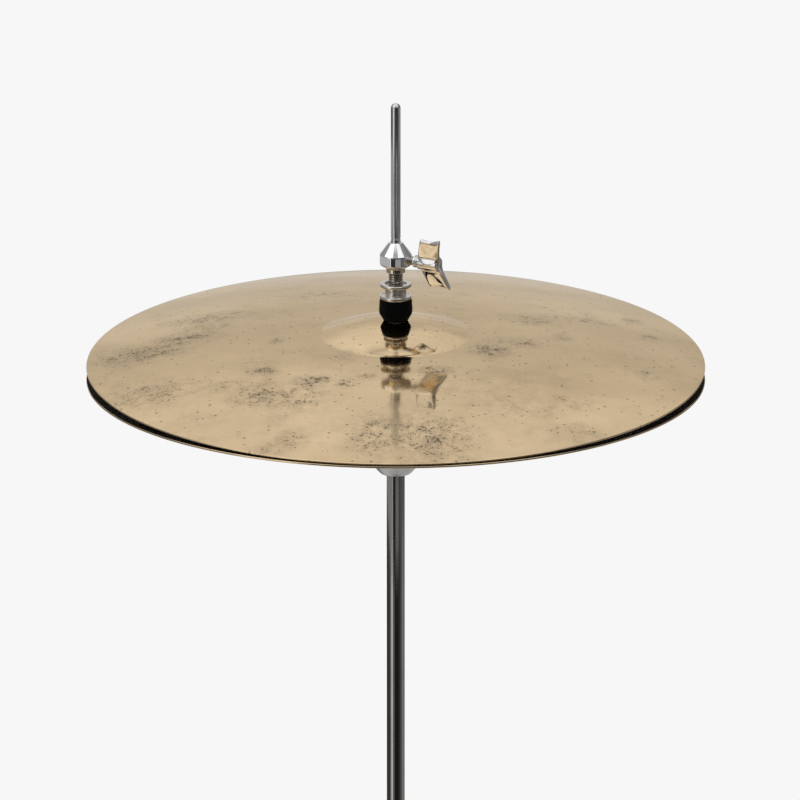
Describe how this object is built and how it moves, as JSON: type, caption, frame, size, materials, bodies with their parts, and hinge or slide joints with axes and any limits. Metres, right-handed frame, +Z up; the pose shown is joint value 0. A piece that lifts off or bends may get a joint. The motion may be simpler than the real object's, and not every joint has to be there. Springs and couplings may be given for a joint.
{
  "type": "pedal hi-hat",
  "caption": "Pedal hi-hat: two facing bronze cymbals on a slender pull rod and column, with clutch, folding tripod, return spring and footboard.",
  "frame": {"origin": "on the floor, on the column's axis, at the middle of the base pad's underside", "axes": "+Z up along the column and pull rod, -Y towards the player's heel, +X to the player's right seen from the pedal"},
  "size_m": [0.5622, 0.6291, 1.0152],
  "materials": {
    "bronze_top": "brilliant hammered bronze with dark blotches",
    "bronze_bottom": "brilliant hammered bronze",
    "bright_chrome": "polished",
    "dark_chrome": "polished, slightly smoky",
    "rod_steel": "ground and polished",
    "satin_nickel": "satin",
    "black_steel": "black oxide",
    "spring_steel": "drawn wire",
    "black_felt": "pressed felt",
    "grey_felt": "pressed felt",
    "nylon": "natural nylon",
    "black_plastic": "moulded",
    "cast_aluminium": "fine cast, satin",
    "black_rubber": "moulded rubber"
  },
  "bodies": {
    "stand": {"base_pad": "black_rubber", "base_frame": "cast_aluminium", "lower_tube": "bright_chrome", "leg_hub": "bright_chrome", "hub_rivets": "satin_nickel", "height_clamp": "bright_chrome", "clamp_bushing": "nylon", "spring_seat": "black_steel", "return_spring": "spring_steel", "heel_plate": "cast_aluminium", "heel_rubber": "black_rubber", "heel_pin": "rod_steel", "radius_rods": "rod_steel"},
    "upper_post": {"upper_tube": "dark_chrome", "seat_cup": "satin_nickel", "rod_guide": "nylon", "seat_sleeve": "nylon", "seat_felt": "grey_felt"},
    "bottom_cymbal": {"bottom_cymbal": "bronze_bottom"},
    "pull_rod": {"upper_rod": "rod_steel", "rod_coupler": "rod_steel", "lower_pull_rod": "rod_steel", "spring_cap": "black_steel", "rod_fork": "rod_steel", "fork_pin": "rod_steel"},
    "clutch": {"clutch_body": "bright_chrome", "upper_felt": "black_felt", "lower_felt": "black_felt"},
    "jam_nut": {"clutch_jam_nut": "satin_nickel"},
    "flange_nut": {"clutch_flange_nut": "satin_nickel"},
    "bottom_nut": {"clutch_bottom_nut": "satin_nickel"},
    "clutch_wing": {"clutch_wing": "bright_chrome", "clutch_screw": "black_steel"},
    "cymbal_rock": {"cymbal_sleeve": "nylon"},
    "top_cymbal": {"top_cymbal": "bronze_top"},
    "link": {"pull_link": "black_steel"},
    "pedal": {"footboard": "cast_aluminium", "tread_pads": "black_rubber", "toe_bracket": "cast_aluminium", "toe_pin": "rod_steel"},
    "tension_dial": {"tension_dial": "black_plastic"},
    "clamp_wing": {"clamp_wing_bolt": "bright_chrome"},
    "leg_collar": {"leg_collar": "bright_chrome"},
    "collar_wing": {"collar_wing_bolt": "bright_chrome"},
    "brace_1": {"brace_1": "bright_chrome"},
    "leg_1": {"leg_1": "bright_chrome", "foot_1": "black_rubber", "leg_rivets_1": "satin_nickel"},
    "brace_2": {"brace_2": "bright_chrome"},
    "leg_2": {"leg_2": "bright_chrome", "foot_2": "black_rubber", "leg_rivets_2": "satin_nickel"},
    "brace_3": {"brace_3": "bright_chrome"},
    "leg_3": {"leg_3": "bright_chrome", "foot_3": "black_rubber", "leg_rivets_3": "satin_nickel"}
  },
  "joints": [
    {"name": "pull_rod_slide", "type": "slide", "parent": "stand", "child": "pull_rod", "axis": [0, 0, 1], "range_m": [-0.0073, 0], "stiffness_N_per_m": 2500, "springref_m": 0.016, "deforming": ["return_spring"]},
    {"name": "height_adjust", "type": "slide", "parent": "stand", "child": "upper_post", "axis": [0, 0, 1], "range_m": [-0.1, 0]},
    {"name": "bottom_cymbal_spin", "type": "hinge", "parent": "upper_post", "child": "bottom_cymbal", "pos_m": [0, 0, 0.7996], "axis": [0, 0, 1], "continuous": true},
    {"name": "clutch_height", "type": "slide", "parent": "pull_rod", "child": "clutch", "axis": [0, 0, 1], "range_m": [0, 0.06]},
    {"name": "clutch_wing_turn", "type": "hinge", "parent": "clutch", "child": "clutch_wing", "pos_m": [0, 0, 0.91075], "axis": [0.8746, -0.4848, 0], "range_deg": [-45, 360]},
    {"name": "jam_nut_turn", "type": "hinge", "parent": "clutch", "child": "jam_nut", "pos_m": [0, 0, 0.89355], "axis": [0, 0, 1], "range_deg": [-180, 180]},
    {"name": "flange_nut_turn", "type": "hinge", "parent": "clutch", "child": "flange_nut", "pos_m": [0, 0, 0.88855], "axis": [0, 0, 1], "range_deg": [-180, 180]},
    {"name": "bottom_nut_turn", "type": "hinge", "parent": "clutch", "child": "bottom_nut", "pos_m": [0, 0, 0.85555], "axis": [0, 0, 1], "range_deg": [-180, 180]},
    {"name": "top_cymbal_rock", "type": "hinge", "parent": "clutch", "child": "cymbal_rock", "pos_m": [0, 0, 0.86835], "axis": [1, 0, 0], "range_deg": [-1.98, 0.2]},
    {"name": "top_cymbal_spin", "type": "hinge", "parent": "cymbal_rock", "child": "top_cymbal", "pos_m": [0, 0, 0.86835], "axis": [0, -0.034, 0.9994], "continuous": true},
    {"name": "link_swing", "type": "hinge", "parent": "pull_rod", "child": "link", "pos_m": [0, 0, 0.102], "axis": [1, 0, 0], "range_deg": [-0.5, 3]},
    {"name": "pedal_hinge", "type": "hinge", "parent": "stand", "child": "pedal", "pos_m": [0, -0.235, 0.024], "axis": [1, 0, 0], "range_deg": [-2, 0.2]},
    {"name": "tension_dial_turn", "type": "hinge", "parent": "stand", "child": "tension_dial", "pos_m": [0, 0, 0.147], "axis": [0, 0, 1], "range_deg": [-180, 180]},
    {"name": "clamp_wing_turn", "type": "hinge", "parent": "stand", "child": "clamp_wing", "pos_m": [0.006, 0, 0.5025], "axis": [1, 0, 0], "range_deg": [-45, 360]},
    {"name": "tripod_fold", "type": "slide", "parent": "stand", "child": "leg_collar", "axis": [0, 0, 1], "range_m": [0, 0.04499]},
    {"name": "collar_wing_turn", "type": "hinge", "parent": "leg_collar", "child": "collar_wing", "pos_m": [0, -0.006, 0.26736], "axis": [0, -1, 0], "range_deg": [-45, 360]},
    {"name": "brace_1_hinge", "type": "hinge", "parent": "stand", "child": "brace_1", "pos_m": [0, 0.02, 0.168], "axis": [1, 0, 0], "range_deg": [-0.5, 37.5]},
    {"name": "leg_1_hinge", "type": "hinge", "parent": "brace_1", "child": "leg_1", "pos_m": [0, 0.07351, 0.21618], "axis": [-1, 0, 0], "range_deg": [-0.5, 74.5]},
    {"name": "brace_2_hinge", "type": "hinge", "parent": "stand", "child": "brace_2", "pos_m": [-0.01732, -0.01, 0.168], "axis": [-0.5, 0.866, 0], "range_deg": [-0.5, 37.5]},
    {"name": "leg_2_hinge", "type": "hinge", "parent": "brace_2", "child": "leg_2", "pos_m": [-0.06366, -0.03675, 0.21618], "axis": [0.5, -0.866, 0], "range_deg": [-0.5, 74.5]},
    {"name": "brace_3_hinge", "type": "hinge", "parent": "stand", "child": "brace_3", "pos_m": [0.01732, -0.01, 0.168], "axis": [-0.5, -0.866, 0], "range_deg": [-0.5, 37.5]},
    {"name": "leg_3_hinge", "type": "hinge", "parent": "brace_3", "child": "leg_3", "pos_m": [0.06366, -0.03675, 0.21618], "axis": [0.5, 0.866, 0], "range_deg": [-0.5, 74.5]}
  ],
  "couplings": [
    {"joint": "top_cymbal_rock", "follows": "pull_rod_slide", "rad_per_m": 4.6622},
    {"joint": "pedal_hinge", "follows": "pull_rod_slide", "rad_per_m": 4.2553},
    {"joint": "link_swing", "follows": "pull_rod_slide", "rad_per_m": -4.0699},
    {"joint": "brace_1_hinge", "follows": "tripod_fold", "rad_per_m": 14.354},
    {"joint": "leg_1_hinge", "follows": "tripod_fold", "rad_per_m": 28.707},
    {"joint": "brace_2_hinge", "follows": "tripod_fold", "rad_per_m": 14.354},
    {"joint": "leg_2_hinge", "follows": "tripod_fold", "rad_per_m": 28.707},
    {"joint": "brace_3_hinge", "follows": "tripod_fold", "rad_per_m": 14.354},
    {"joint": "leg_3_hinge", "follows": "tripod_fold", "rad_per_m": 28.707}
  ]
}
